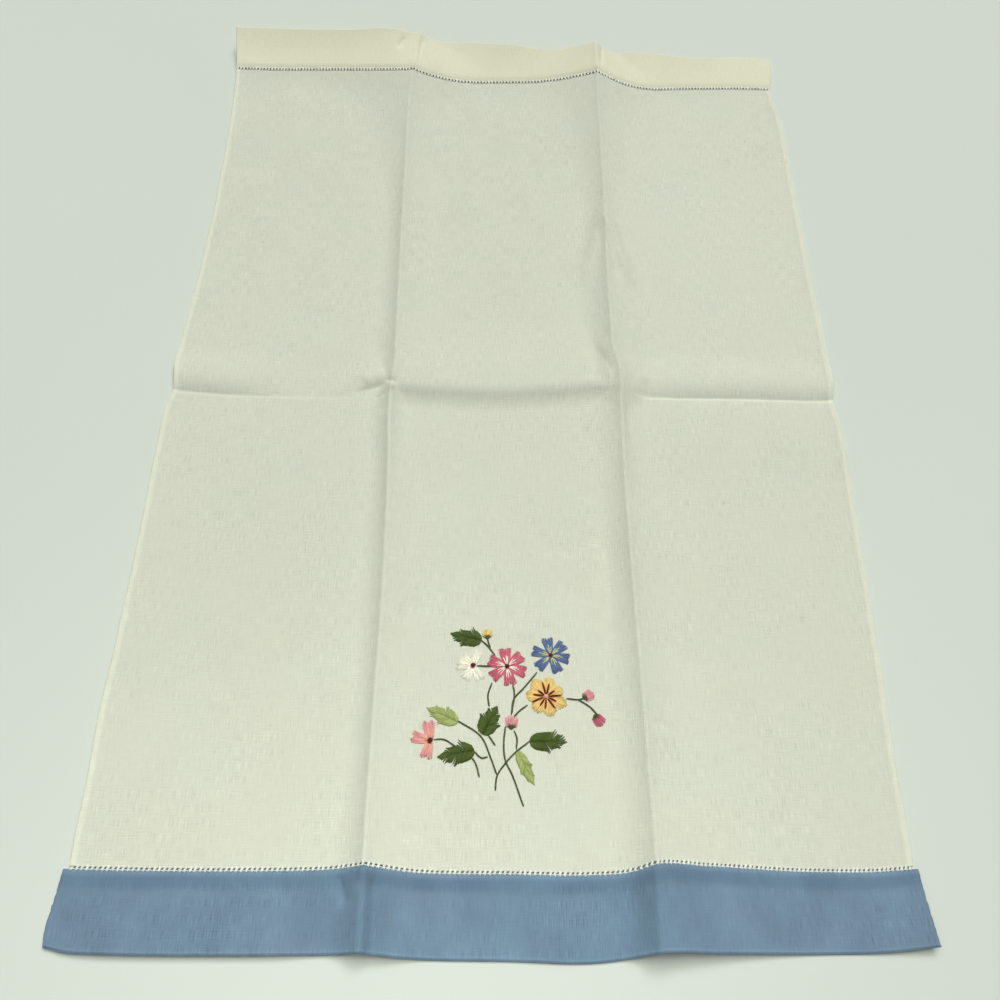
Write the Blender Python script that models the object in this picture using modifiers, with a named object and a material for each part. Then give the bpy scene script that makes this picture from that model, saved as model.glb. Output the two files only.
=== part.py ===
"""A linen hand towel laid out face up after being kept folded.

Two pieces: a cream linen panel with narrow side hems and a deep top hem, and a doubled blue
strip sewn along its lower edge. The towel was folded in three across its width, with both sides
turned behind, and then in half. So the two long folds stand up as ridges, and the cross fold is
a ridge in the middle third and a groove with raised lips in the outer thirds.

X runs across the towel, Y from the blue border up to the top hem, and Z up from the table. The
origin is on the table, under the middle of the towel.
"""

from collections import namedtuple

import bmesh
import bpy
import numpy as np

MM = 0.001

# Cloth thicknesses, in millimetres: one layer, and the doubled places.
PANEL_THICK = 1.0
SIDE_HEM_THICK = 1.4
TOP_HEM_THICK = 1.7
BORDER_THICK = 1.7

THIRD_WIDE = 115.0  # from fold to fold
SIDE_HEM_WIDE = 3.0
TOP_HEM_DEEP = 25.0
HEM_STEP_WIDE = 0.6  # the slope from a hem's full thickness down to one layer
SEAM_GAP = 0.3  # between the panel and the border, at the row of hemstitching

# Half way between the outermost points of the outline, in the tables' own millimetres.
MIDDLE_X = -1.1
MIDDLE_Y = 266.4

# The lines that run up the towel, at several heights above the bottom edge, in millimetres.
# The two outer lines are the panel's side edges.
UpLines = namedtuple("UpLines", "y left_edge left_fold right_fold right_edge")
UP_LINES = (
    UpLines(y=0, left_edge=-173.5, left_fold=-55.2, right_fold=61.2, right_edge=168.8),
    UpLines(y=32, left_edge=-173.1, left_fold=-55.5, right_fold=61.7, right_edge=169.8),
    UpLines(y=90, left_edge=-173.6, left_fold=-56.3, right_fold=60.8, right_edge=171.2),
    UpLines(y=155, left_edge=-172.2, left_fold=-56.4, right_fold=59.7, right_edge=173.6),
    UpLines(y=225, left_edge=-171.9, left_fold=-57.4, right_fold=60.2, right_edge=175.1),
    UpLines(y=250, left_edge=-171.6, left_fold=-57.8, right_fold=60.6, right_edge=175.2),
    UpLines(y=265, left_edge=-169.2, left_fold=-57.8, right_fold=60.8, right_edge=173.4),
    UpLines(y=280, left_edge=-170.9, left_fold=-56.5, right_fold=60.5, right_edge=174.8),
    UpLines(y=305, left_edge=-169.7, left_fold=-56.3, right_fold=59.9, right_edge=175.5),
    UpLines(y=365, left_edge=-167.1, left_fold=-57.3, right_fold=58.4, right_edge=174.8),
    UpLines(y=430, left_edge=-166.5, left_fold=-57.6, right_fold=58.9, right_edge=174.8),
    UpLines(y=485, left_edge=-168.0, left_fold=-58.0, right_fold=59.1, right_edge=174.4),
    UpLines(y=512, left_edge=-169.4, left_fold=-57.0, right_fold=58.6, right_edge=172.2),
    UpLines(y=522, left_edge=-170.4, left_fold=-55.8, right_fold=58.4, right_edge=174.2),
    UpLines(y=536, left_edge=-171.4, left_fold=-55.2, right_fold=58.2, right_edge=175.4),
)

# The lines that run across it. "across" counts the thirds: 0 is the left edge, 1 and 2 the long
# folds and 3 the right edge. "lift" is how far the top edge has curled up off the table.
CrossLines = namedtuple("CrossLines", "across bottom seam cross_fold hem_seam top lift")
CROSS_LINES = (
    CrossLines(across=0.00, bottom=-1.2, seam=30.0, cross_fold=262.9, hem_seam=512.8, top=536.3, lift=10.2),
    CrossLines(across=0.20, bottom=-0.9, seam=29.7, cross_fold=261.2, hem_seam=511.4, top=535.5, lift=10.5),
    CrossLines(across=0.60, bottom=-1.1, seam=29.9, cross_fold=260.9, hem_seam=511.6, top=536.0, lift=11.2),
    CrossLines(across=0.85, bottom=-0.6, seam=30.7, cross_fold=261.8, hem_seam=511.4, top=536.6, lift=9.8),
    CrossLines(across=1.00, bottom=0.2, seam=31.7, cross_fold=264.2, hem_seam=511.8, top=536.0, lift=5.0),
    CrossLines(across=1.15, bottom=-1.0, seam=30.2, cross_fold=263.2, hem_seam=510.6, top=534.8, lift=4.6),
    CrossLines(across=1.50, bottom=-3.2, seam=29.4, cross_fold=262.6, hem_seam=509.8, top=534.0, lift=6.8),
    CrossLines(across=1.80, bottom=-3.3, seam=30.3, cross_fold=265.0, hem_seam=509.4, top=534.0, lift=5.0),
    CrossLines(across=1.92, bottom=-1.0, seam=31.8, cross_fold=267.0, hem_seam=510.0, top=534.4, lift=4.8),
    CrossLines(across=2.00, bottom=1.6, seam=34.0, cross_fold=266.0, hem_seam=511.6, top=535.0, lift=4.2),
    CrossLines(across=2.20, bottom=0.0, seam=33.3, cross_fold=266.3, hem_seam=510.9, top=534.3, lift=4.0),
    CrossLines(across=2.60, bottom=-0.9, seam=32.0, cross_fold=266.9, hem_seam=509.9, top=533.6, lift=3.0),
    CrossLines(across=2.85, bottom=0.8, seam=32.2, cross_fold=266.8, hem_seam=511.0, top=532.5, lift=1.0),
    CrossLines(across=3.00, bottom=3.7, seam=33.4, cross_fold=267.2, hem_seam=511.7, top=531.6, lift=0.0),
)
LIFT_STARTS = 500.0  # below this height the panel lies on the table

# The long folds stand up as ridges. "reach" is how far each side takes to come down again.
Ridge = namedtuple("Ridge", "y height left_reach right_reach")
LEFT_RIDGE = (
    Ridge(y=0, height=7.0, left_reach=30, right_reach=40),
    Ridge(y=32, height=6.5, left_reach=26, right_reach=34),
    Ridge(y=90, height=4.2, left_reach=20, right_reach=22),
    Ridge(y=200, height=3.6, left_reach=18, right_reach=20),
    Ridge(y=264, height=4.6, left_reach=20, right_reach=22),
    Ridge(y=330, height=3.4, left_reach=18, right_reach=18),
    Ridge(y=430, height=4.2, left_reach=22, right_reach=22),
    Ridge(y=480, height=6.4, left_reach=44, right_reach=32),
    Ridge(y=512, height=8.6, left_reach=70, right_reach=46),
    Ridge(y=536, height=6.6, left_reach=60, right_reach=20),
)
RIGHT_RIDGE = (
    Ridge(y=0, height=8.5, left_reach=32, right_reach=72),
    Ridge(y=32, height=7.4, left_reach=32, right_reach=60),
    Ridge(y=90, height=5.6, left_reach=28, right_reach=24),
    Ridge(y=200, height=5.0, left_reach=26, right_reach=20),
    Ridge(y=264, height=5.2, left_reach=26, right_reach=22),
    Ridge(y=330, height=5.2, left_reach=26, right_reach=20),
    Ridge(y=430, height=5.2, left_reach=28, right_reach=22),
    Ridge(y=480, height=7.4, left_reach=38, right_reach=30),
    Ridge(y=512, height=9.8, left_reach=44, right_reach=38),
    Ridge(y=536, height=9.0, left_reach=34, right_reach=16),
)

# The cross fold. The middle third stands up; the outer thirds dip between two raised lips.
CROSS_RIDGE_HEIGHT = 3.2
CROSS_RIDGE_REACH = 17.0
UPPER_LIP_HEIGHT = 3.0
UPPER_LIP_REACH = 30.0
LOWER_LIP_HEIGHT = 2.2
LOWER_LIP_REACH = 24.0
FOLD_BLEND = 0.10  # in thirds: how soon the ridge turns into the groove beside a long fold
CROSSING_SHARE = 0.35  # how much of the lower fold's height is added where two folds cross

# The lower right corner has sprung up a little.
CORNER_LIFT = 3.5
CORNER_REACH = 34.0

# How far the border's ends stand out beyond the panel's side edges.
BORDER_FLARE_TOP = 2.2
BORDER_FLARE_BOTTOM = 5.2
WORN_CORNER_INSET = 1.6  # how far the worn lower left corner is drawn in
WORN_CORNER_ACROSS = 0.08  # how much of the border's length and depth that takes
WORN_CORNER_UP = 0.25

# How finely the cloth is divided.
STEPS_ACROSS_A_THIRD = 12
STEPS_UP_A_HALF = 13
STEPS_UP_THE_HEM = 4
STEPS_UP_THE_BORDER = 5

PANEL_COLOUR = (0.69, 0.68, 0.55, 1.0)
BORDER_COLOUR = (0.17, 0.27, 0.42, 1.0)
CLOTH_ROUGHNESS = 0.9


def smooth_through(rows, at_field, at, field):
    """A smooth curve through one column of a table, read at some value of another."""
    stations = np.array([getattr(row, at_field) for row in rows], float)
    values = np.array([getattr(row, field) for row in rows], float)
    slopes = np.gradient(values, stations)
    k = int(np.clip(np.searchsorted(stations, at, side="right") - 1, 0, len(rows) - 2))
    step = stations[k + 1] - stations[k]
    t = float(np.clip((at - stations[k]) / step, 0.0, 1.0))
    start = (1 + 2 * t) * (1 - t) ** 2 * values[k] + t * (1 - t) ** 2 * step * slopes[k]
    end = t * t * (3 - 2 * t) * values[k + 1] - t * t * (1 - t) * step * slopes[k + 1]
    return start + end


def x_at(across, y):
    """How far right a thread of the panel lies, "across" thirds from the left edge."""
    lines = [
        smooth_through(UP_LINES, "y", y, name)
        for name in ("left_edge", "left_fold", "right_fold", "right_edge")
    ]
    third = min(int(across), 2)
    return lines[third] + (across - third) * (lines[third + 1] - lines[third])


def y_at(across, up):
    """How high up the towel a thread lies. "up" is 0 at the bottom edge, 1 at the border seam,
    2 at the cross fold, 3 at the top hem's seam and 4 at the top edge."""
    names = ("bottom", "seam", "cross_fold", "hem_seam", "top")
    below = min(int(up), 3)
    low = smooth_through(CROSS_LINES, "across", across, names[below])
    high = smooth_through(CROSS_LINES, "across", across, names[below + 1])
    return low + (up - below) * (high - low)


def ridge_height(rows, y, beside):
    """A ridge with a sharp crest, and sides that flatten out as they come down."""
    height = smooth_through(rows, "y", y, "height")
    side = "left_reach" if beside < 0 else "right_reach"
    reach = smooth_through(rows, "y", y, side)
    return height * max(0.0, 1 - abs(beside) / reach) ** 2


def lip_height(beyond, height, reach):
    """The raised lip on one side of a groove: nothing at the groove and highest a third out."""
    t = min(beyond / reach, 1.0)
    highest = (1 / 3) * (1 - 1 / 3) ** 2
    return height * t * (1 - t) ** 2 / highest


def cross_fold_height(across, beyond):
    """The cross fold's own height, "beyond" millimetres above it, or below it where negative."""
    inside = min(across - 1, 2 - across) / FOLD_BLEND
    middle = float(np.clip(0.5 + inside, 0.0, 1.0))
    ridge = CROSS_RIDGE_HEIGHT * max(0.0, 1 - abs(beyond) / CROSS_RIDGE_REACH) ** 2
    if beyond > 0:
        lip = lip_height(beyond, UPPER_LIP_HEIGHT, UPPER_LIP_REACH)
    else:
        lip = lip_height(-beyond, LOWER_LIP_HEIGHT, LOWER_LIP_REACH)
    return middle * ridge + (1 - middle) * lip


def height_at(across, x, y):
    """How far the underside of the cloth is off the table there, in millimetres."""
    left = ridge_height(LEFT_RIDGE, y, x - smooth_through(UP_LINES, "y", y, "left_fold"))
    right = ridge_height(RIGHT_RIDGE, y, x - smooth_through(UP_LINES, "y", y, "right_fold"))
    fold_y = smooth_through(CROSS_LINES, "across", across, "cross_fold")
    cross = cross_fold_height(across, y - fold_y)
    top = smooth_through(CROSS_LINES, "across", across, "top")
    curl = float(np.clip((y - LIFT_STARTS) / (top - LIFT_STARTS), 0.0, 1.0)) ** 2
    lift = curl * smooth_through(CROSS_LINES, "across", across, "lift")
    corner_x = UP_LINES[0].right_edge + BORDER_FLARE_BOTTOM
    corner_away = np.hypot(x - corner_x, y - CROSS_LINES[-1].bottom)
    corner = CORNER_LIFT * max(0.0, 1 - corner_away / CORNER_REACH) ** 2
    folds = max(left + right, cross) + CROSSING_SHARE * min(left + right, cross)
    return folds + lift + corner


def even_steps(start, end, count):
    """Evenly spaced values, both ends included."""
    return [float(value) for value in np.linspace(start, end, count + 1)]


def crowded_steps(start, end, count):
    """Values that crowd together at both ends, where the folds bend the cloth most."""
    turn = np.linspace(0, np.pi, count + 1)
    return [float(value) for value in start + (end - start) * (1 - np.cos(turn)) / 2]


def across_steps(count):
    """Places across the towel: three thirds, and a line each side of both side hems."""
    hem = SIDE_HEM_WIDE / THIRD_WIDE
    step = HEM_STEP_WIDE / THIRD_WIDE
    thirds = [crowded_steps(third, third + 1, count) for third in range(3)]
    inner = sorted({round(value, 6) for third in thirds for value in third})
    inner = [value for value in inner if hem + step < value < 3 - hem - step]
    return [0.0, hem, hem + step] + inner + [3 - hem - step, 3 - hem, 3.0]


def laid_sheet(name, across, up, place, thickness_at, colour, collection):
    """A grid bent onto the folds, given its thickness upwards by a Solidify modifier."""
    bm = bmesh.new()
    bmesh.ops.create_grid(bm, x_segments=len(across) - 1, y_segments=len(up) - 1, size=1.0)
    thickest = max(thickness_at(a, u) for a in across for u in up)
    shares = []
    for vert in bm.verts:
        i = round((vert.co.x + 1) / 2 * (len(across) - 1))
        j = round((vert.co.y + 1) / 2 * (len(up) - 1))
        shares.append(thickness_at(across[i], up[j]) / thickest)
        x, y, z = place(across[i], up[j])
        vert.co = ((x - MIDDLE_X) * MM, (y - MIDDLE_Y) * MM, z * MM)
    mesh = bpy.data.meshes.new(name)
    bm.to_mesh(mesh)
    bm.free()

    cloth = bpy.data.objects.new(name, mesh)
    collection.objects.link(cloth)
    layers = cloth.vertex_groups.new(name="layers")
    for index, share in enumerate(shares):
        layers.add([index], share, "REPLACE")
    thick = cloth.modifiers.new("Thickness", "SOLIDIFY")
    thick.thickness = thickest * MM
    thick.offset = 1.0
    thick.vertex_group = layers.name
    thick.thickness_vertex_group = 0.0
    mesh.shade_smooth()

    linen = bpy.data.materials.new(name + "_linen")
    linen.use_nodes = True
    shader = linen.node_tree.nodes["Principled BSDF"]
    shader.inputs["Base Color"].default_value = colour
    shader.inputs["Roughness"].default_value = CLOTH_ROUGHNESS
    mesh.materials.append(linen)
    return cloth


def panel_place(across, up):
    """Where a point of the cream panel lies. It ends just above the border."""
    y = y_at(across, up)
    if up <= 1:
        y += SEAM_GAP
    x = x_at(across, y)
    return x, y, height_at(across, x, y)


def panel_thickness(across, up):
    """Two more layers in the side hems, and one more in the top hem."""
    if up > 3.0:
        return TOP_HEM_THICK
    from_edge = min(across, 3 - across) * THIRD_WIDE
    return SIDE_HEM_THICK if from_edge < SIDE_HEM_WIDE + HEM_STEP_WIDE / 2 else PANEL_THICK


def border_place(across, up):
    """Where a point of the blue border lies. Its ends flare out past the panel."""
    y = y_at(across, up)
    x = x_at(across, y)
    flare = BORDER_FLARE_BOTTOM + up * (BORDER_FLARE_TOP - BORDER_FLARE_BOTTOM)
    outward = (across - 1.5) / 1.5
    x += flare * outward**3
    worn = max(0.0, 1 - across / WORN_CORNER_ACROSS) * max(0.0, 1 - up / WORN_CORNER_UP)
    x += WORN_CORNER_INSET * worn
    y += WORN_CORNER_INSET * worn
    return x, y, height_at(across, x, y)


def border_thickness(across, up):
    """The border is doubled all over."""
    return BORDER_THICK


def make_towel():
    """Both pieces, on one set of lines across, so that they meet all along the seam."""
    towel = bpy.data.collections.new("hand_towel")
    bpy.context.scene.collection.children.link(towel)
    across = across_steps(STEPS_ACROSS_A_THIRD)
    hem_starts = 3 + HEM_STEP_WIDE / TOP_HEM_DEEP
    panel_up = (
        crowded_steps(1, 2, STEPS_UP_A_HALF)[:-1]
        + crowded_steps(2, 3, STEPS_UP_A_HALF)
        + even_steps(hem_starts, 4, STEPS_UP_THE_HEM)
    )
    border_up = even_steps(0, 1, STEPS_UP_THE_BORDER)
    laid_sheet("linen_panel", across, panel_up, panel_place, panel_thickness, PANEL_COLOUR, towel)
    laid_sheet("blue_border", across, border_up, border_place, border_thickness, BORDER_COLOUR, towel)


for old in list(bpy.data.objects):
    bpy.data.objects.remove(old)
make_towel()
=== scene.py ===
# %% [markdown]
# # A linen hand towel with an embroidered spray
#
# The towel lies open and face up, as it was unfolded. It is one cut of cream linen with a blue
# linen border, two rows of hemstitching and a small bunch of flowers in satin stitch. The solids
# from the CAD step are loaded first. They fix the size, and every piece below lies where they lie.

# %% Load the frame
import math
import random
from collections import namedtuple

import bmesh
import bpy
import numpy as np
from mathutils import Matrix, Vector, noise


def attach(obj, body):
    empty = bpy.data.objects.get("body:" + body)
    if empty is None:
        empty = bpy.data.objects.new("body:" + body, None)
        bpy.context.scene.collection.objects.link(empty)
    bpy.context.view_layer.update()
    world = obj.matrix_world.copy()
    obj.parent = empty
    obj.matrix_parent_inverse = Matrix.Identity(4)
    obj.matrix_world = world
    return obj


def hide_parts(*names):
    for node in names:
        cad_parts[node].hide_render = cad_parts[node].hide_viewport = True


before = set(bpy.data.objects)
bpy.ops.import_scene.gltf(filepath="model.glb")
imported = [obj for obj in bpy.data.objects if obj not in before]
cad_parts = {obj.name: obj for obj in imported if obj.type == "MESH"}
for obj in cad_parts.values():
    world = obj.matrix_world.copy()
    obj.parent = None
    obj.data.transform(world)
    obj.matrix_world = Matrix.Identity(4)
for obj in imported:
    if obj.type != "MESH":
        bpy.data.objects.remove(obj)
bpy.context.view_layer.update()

BODY = "root"
MM = 0.001

# %% [markdown]
# ## Measures
#
# All of the towel's measures are in millimetres, taken from the middle of its bottom edge, with
# x across and y up the cloth. One function moves them into the frame, whose origin is under the
# middle of the towel. The up lines and cross lines are the edges, folds and seams as they lie,
# none of them quite straight, because the towel was smoothed out by hand.


# %% Edges, folds and seams
def table(columns, *rows):
    """Rows of values under named columns."""
    row_type = namedtuple("Row", columns)
    return [row_type(*row) for row in rows]


UP_LINES = table(
    "y left_edge left_fold right_fold right_edge",
    (0, -173.5, -55.2, 61.6, 168.8),
    (32, -173.1, -55.5, 62.1, 169.8),
    (90, -173.6, -55.6, 61.8, 171.2),
    (155, -172.2, -55.2, 60.7, 173.6),
    (225, -171.9, -56.6, 60.2, 175.1),
    (250, -171.6, -57.8, 60.6, 175.2),
    (265, -169.2, -57.8, 60.8, 173.4),
    (280, -170.9, -56.5, 60.5, 174.8),
    (292, -170.3, -56.6, 58.0, 175.2),
    (305, -169.7, -56.8, 57.8, 175.5),
    (365, -167.1, -57.8, 58.0, 174.8),
    (430, -166.5, -58.2, 58.9, 174.8),
    (485, -168.0, -58.6, 58.4, 174.4),
    (512, -169.4, -57.0, 58.6, 172.2),
    (522, -170.4, -55.8, 58.4, 174.2),
    (536, -171.4, -55.2, 58.2, 175.4),
)

CROSS_LINES = table(
    "across bottom seam cross_fold hem_seam top lift",
    (0.00, -1.2, 30.0, 262.9, 509.8, 538.5, 10.2),
    (0.20, -2.0, 29.7, 261.2, 509.9, 538.2, 10.5),
    (0.60, -2.1, 29.9, 260.9, 510.6, 538.1, 11.2),
    (0.85, -1.6, 30.7, 261.8, 508.2, 539.1, 9.8),
    (1.00, -1.4, 31.7, 264.2, 506.2, 537.4, 5.0),
    (1.15, -2.6, 30.2, 264.2, 505.2, 538.4, 4.6),
    (1.50, -3.2, 29.8, 263.8, 506.8, 536.2, 6.8),
    (1.80, -3.5, 29.9, 267.4, 509.0, 533.6, 5.0),
    (1.92, -1.8, 31.0, 269.0, 509.0, 534.2, 4.8),
    (2.00, -0.6, 33.2, 267.4, 508.4, 533.0, 4.2),
    (2.20, -0.2, 33.3, 266.3, 506.2, 536.2, 4.0),
    (2.60, 0.2, 32.0, 266.9, 508.4, 535.0, 3.0),
    (2.85, 1.1, 32.2, 266.8, 510.6, 539.6, 1.0),
    (3.00, 3.0, 33.4, 267.2, 510.8, 539.2, 0.0),
)

MIDDLE_X = -1.1
MIDDLE_Y = 266.4
THIRD_WIDE = 115.0


def in_frame(x, y, z):
    """The towel's own millimetres as metres in the frame."""
    return np.stack([(x - MIDDLE_X) * MM, (y - MIDDLE_Y) * MM, z * MM + 0 * x], axis=-1)


# %% [markdown]
# ## Camera
#
# The view is from in front of the border, close to the towel and looking steeply down through
# a wide lens, so the near end looks much wider than the far end. The height, slope and slight
# roll were found from the towel's own corners and folds.

# %% Camera
LENS = 36.0
SENSOR = 36.0
CAMERA_AT = (-18.6, -35.5, 428.1)
CAMERA_DOWN = math.radians(60.81)
CAMERA_TURN = math.radians(-4.12)
CAMERA_ROLL = math.radians(4.95)


def add_object(name, data):
    """A new object in the scene."""
    added = bpy.data.objects.new(name, data)
    bpy.context.scene.collection.objects.link(added)
    return added


camera = add_object("camera", bpy.data.cameras.new("camera"))
camera.data.lens = LENS
camera.data.sensor_width = SENSOR
camera.data.clip_start = 0.01
place = Matrix.Translation(in_frame(*CAMERA_AT))
turn = Matrix.Rotation(CAMERA_TURN, 4, "Z")
tilt = Matrix.Rotation(math.pi / 2 - CAMERA_DOWN, 4, "X")
roll = Matrix.Rotation(CAMERA_ROLL, 4, "Z")
camera.matrix_world = place @ turn @ tilt @ roll
bpy.context.scene.camera = camera
bpy.context.scene.view_settings.view_transform = "Standard"
print("camera height in mm:", round(camera.matrix_world.translation.z / MM))

# %% [markdown]
# ## Shader expressions
#
# A cloth's colour is worked out from where each thread lies, which takes a good deal of
# arithmetic. Wrapping a node's output in a small class lets that be written as an expression,
# such as 1 - mask * 0.5, and each step adds its own Math node. Everything else, from a noise to
# a bump, comes from the one method called node.


# %% A socket that takes part in expressions
class Wire:
    """A node's output, or with no socket the node tree alone, as the start of an expression."""

    def __init__(self, tree, socket=None):
        self.tree = tree
        self.socket = socket

    def node(self, kind, settings=None, sockets=None, out=0):
        """Adds a node. Its settings come first, and then the values or links of its sockets."""
        added = self.tree.nodes.new(kind)
        for name, value in (settings or {}).items():
            setattr(added, name, value)
        for name, value in (sockets or {}).items():
            if isinstance(value, Wire):
                self.tree.links.new(value.socket, added.inputs[name])
            else:
                added.inputs[name].default_value = value
        return Wire(self.tree, added.outputs[out])

    def maths(self, operation, *values):
        return self.node("ShaderNodeMath", {"operation": operation}, dict(enumerate(values)))

    def __add__(self, other):
        return self.maths("ADD", self, other)

    def __sub__(self, other):
        return self.maths("SUBTRACT", self, other)

    def __rsub__(self, other):
        return self.maths("SUBTRACT", other, self)

    def __mul__(self, other):
        return self.maths("MULTIPLY", self, other)

    def __truediv__(self, other):
        return self.maths("DIVIDE", self, other)

    __radd__ = __add__
    __rmul__ = __mul__

    def step(self, low, high):
        """0 below low, 1 above high, and a smooth rise between them."""
        sockets = {"Value": self, "From Min": low, "From Max": high}
        return self.node("ShaderNodeMapRange", {"interpolation_type": "SMOOTHSTEP"}, sockets)

    def tint(self, first, second):
        """A colour between two, by this value as the share of the second."""
        return self.node("ShaderNodeMix", {"data_type": "RGBA"}, {0: self, 6: first, 7: second}, out=2)

    def lit(self, light):
        """This colour made lighter or darker by a factor."""
        return self.node("ShaderNodeVectorMath", {"operation": "SCALE"}, {0: self, "Scale": light})

    def vector(self, x, y, z):
        return self.node("ShaderNodeCombineXYZ", None, {0: x, 1: y, 2: z})

    def held(self, name):
        """The value of this name that the mesh holds at each point."""
        return self.node("ShaderNodeAttribute", {"attribute_name": name}, out=2)

    def speckle(self, place, scale, detail=2.0):
        """Noise from 0 to 1 at a place."""
        return self.node("ShaderNodeTexNoise", None, {"Vector": place, "Scale": scale, "Detail": detail})


def shade(colour, darkness=1.0):
    """A colour in linear light from one as it is seen, in parts of 255, times a factor."""
    seen = [part / 255 for part in colour]
    linear = [part / 12.92 if part <= 0.04045 else ((part + 0.055) / 1.055) ** 2.4 for part in seen]
    return (*[part * darkness for part in linear], 1.0)


def new_material(name, roughness, sheen=0.0):
    """A material with its Principled shader, and the start of its expressions."""
    material = bpy.data.materials.new(name)
    material.use_nodes = True
    tree = material.node_tree
    shader = tree.nodes["Principled BSDF"]
    shader.inputs["Roughness"].default_value = roughness
    shader.inputs["Sheen Weight"].default_value = sheen
    shader.inputs["Specular IOR Level"].default_value = 0.25
    return material, shader, Wire(tree)


def connect(shader, colour, height=None, strength=0.5, deep=0.1):
    """Gives a shader its colour, and its bumps of a height that is "deep" millimetres at 1."""
    colour.tree.links.new(colour.socket, shader.inputs["Base Color"])
    if height:
        sockets = {"Strength": strength, "Distance": deep * MM, "Height": height}
        bump = height.node("ShaderNodeBump", None, sockets)
        colour.tree.links.new(bump.socket, shader.inputs["Normal"])


# %% [markdown]
# ## Floor and light
#
# The towel lies on a pale floor in very soft light from above and a little behind the top hem. A
# weaker light from behind and to the right leaves the near and left sides of the folds in shade.
# Hardly any comes from low down in front, so it is dark under the raised arcs of the border. A
# small light over the near end makes that end slightly brighter.

# %% Floor and light
FLOOR_WIDE = 6.0
FLOOR_DROP = 0.2 * MM
FLOOR_TINT = (214, 222, 210)
SKY_STRENGTH = 0.09

bpy.ops.mesh.primitive_plane_add(size=FLOOR_WIDE, location=(0, 0, -FLOOR_DROP))
floor = bpy.context.object
floor.name = "floor"
floor_material, floor_shader, wire = new_material("pale_floor", 0.7)
spots = wire.node("ShaderNodeTexCoord", out=3)
cloudy = wire.speckle(spots, 3.0).tint(shade(FLOOR_TINT, 0.97), shade(FLOOR_TINT, 1.03))
connect(floor_shader, cloudy)
floor.data.materials.append(floor_material)

world = bpy.data.worlds.new("soft_light")
bpy.context.scene.world = world
world.use_nodes = True
sky = world.node_tree.nodes["Background"]
sky.inputs["Color"].default_value = (1.0, 1.0, 1.0, 1.0)
sky.inputs["Strength"].default_value = SKY_STRENGTH


def add_light(name, kind, place, aim, energy):
    """A light at a place, aimed at a point, both in metres."""
    light = add_object(name, bpy.data.lights.new(name, kind))
    light.data.energy = energy
    light.location = place
    light.rotation_euler = (Vector(aim) - Vector(place)).to_track_quat("-Z", "Y").to_euler()
    return light


top_light = add_light("top_light", "SUN", (0.0, 0.28, 1.0), (0, 0, 0), energy=2.10)
top_light.data.angle = math.radians(60)
back_light = add_light("back_light", "SUN", (0.36, 0.85, 1.0), (0, 0, 0), energy=0.8)
back_light.data.angle = math.radians(24)
over_border = (-0.04, -0.275, 0.20)
under_it = (-0.04, -0.275, 0.0)
near_light = add_light("near_light", "AREA", over_border, under_it, energy=0.092)
near_light.data.shape = "RECTANGLE"
near_light.data.size = 0.2
near_light.data.size_y = 0.1
near_light.visible_camera = False
print("lights:", [light.name for light in (top_light, back_light, near_light)])

# %% [markdown]
# ## Folds
#
# The towel was kept folded in three across, with both sides turned behind, and then in half. So
# the two long folds stand up as ridges, each a wide soft rise with a narrow pressed edge on top
# that catches the light. The cross fold is a ridge in the middle third, steep in front and long
# behind. In the outer thirds it is a groove with a low lip above it, and in the right third one
# below it too. These lips come and go along the fold. The top hem has curled up off the table.


# %% Ridges, lips and the curled hem
def clamp(value):
    """Nothing below 0 or above 1."""
    return np.clip(value, 0, 1)


def bell(*offs):
    """1 where every "off" is 0, and soft on all sides of that."""
    return np.exp(-sum(off**2 for off in offs))


def curve(rows, key, field):
    """A smooth curve through one column of a table, as a function of another column."""
    stations = np.array([getattr(row, key) for row in rows], float)
    values = np.array([getattr(row, field) for row in rows], float)
    slopes = np.gradient(values, stations)

    def at(where):
        k = np.clip(np.searchsorted(stations, where, side="right") - 1, 0, len(rows) - 2)
        step = stations[k + 1] - stations[k]
        t = clamp((where - stations[k]) / step)
        start = (1 + 2 * t) * (1 - t) ** 2 * values[k] + t * (1 - t) ** 2 * step * slopes[k]
        end = t * t * (3 - 2 * t) * values[k + 1] - t * t * (1 - t) * step * slopes[k + 1]
        return start + end

    return at


LIP_SHARES = table(
    "across share",
    (0.00, 1.00),
    (0.28, 0.95),
    (0.45, 0.35),
    (0.78, 0.20),
    (0.90, 0.75),
    (1.00, 0.60),
    (2.00, 0.30),
    (2.14, 0.75),
    (2.30, 0.95),
    (3.00, 0.95),
)
LEFT_RIDGE = table(
    "y height left_reach right_reach",
    (0, 7.4, 16, 30),
    (32, 6.6, 15, 28),
    (60, 5.4, 12, 24),
    (110, 4.8, 11, 24),
    (200, 4.8, 11, 22),
    (240, 5.0, 11, 13),
    (262, 5.0, 12, 13),
    (274, 5.0, 13, 24),
    (330, 4.6, 12, 24),
    (430, 4.8, 17, 22),
    (480, 6.6, 38, 30),
    (512, 8.6, 70, 46),
    (536, 6.6, 60, 20),
)
RIGHT_RIDGE = table(
    "y height left_reach right_reach",
    (0, 8.8, 17, 72),
    (32, 8.0, 17, 60),
    (60, 6.6, 15, 34),
    (110, 6.0, 15, 24),
    (200, 6.0, 15, 22),
    (240, 5.8, 17, 16),
    (262, 6.0, 17, 16),
    (274, 6.4, 18, 24),
    (300, 7.3, 18, 28),
    (340, 6.2, 17, 28),
    (430, 5.6, 19, 24),
    (480, 7.6, 34, 30),
    (512, 9.8, 44, 38),
    (536, 9.0, 34, 16),
)
LIFT_STARTS = 490.0
RIDGE_SLOPE = 0.58
RIDGE_NEAR = 9.5
RIDGE_CROWN = 5.0
RIDGE_FAR = 45.0
UPPER_LIP_HEIGHT = 2.6
UPPER_LIP_REACH = 30.0
LOWER_LIP_HEIGHT = 0.9
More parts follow.
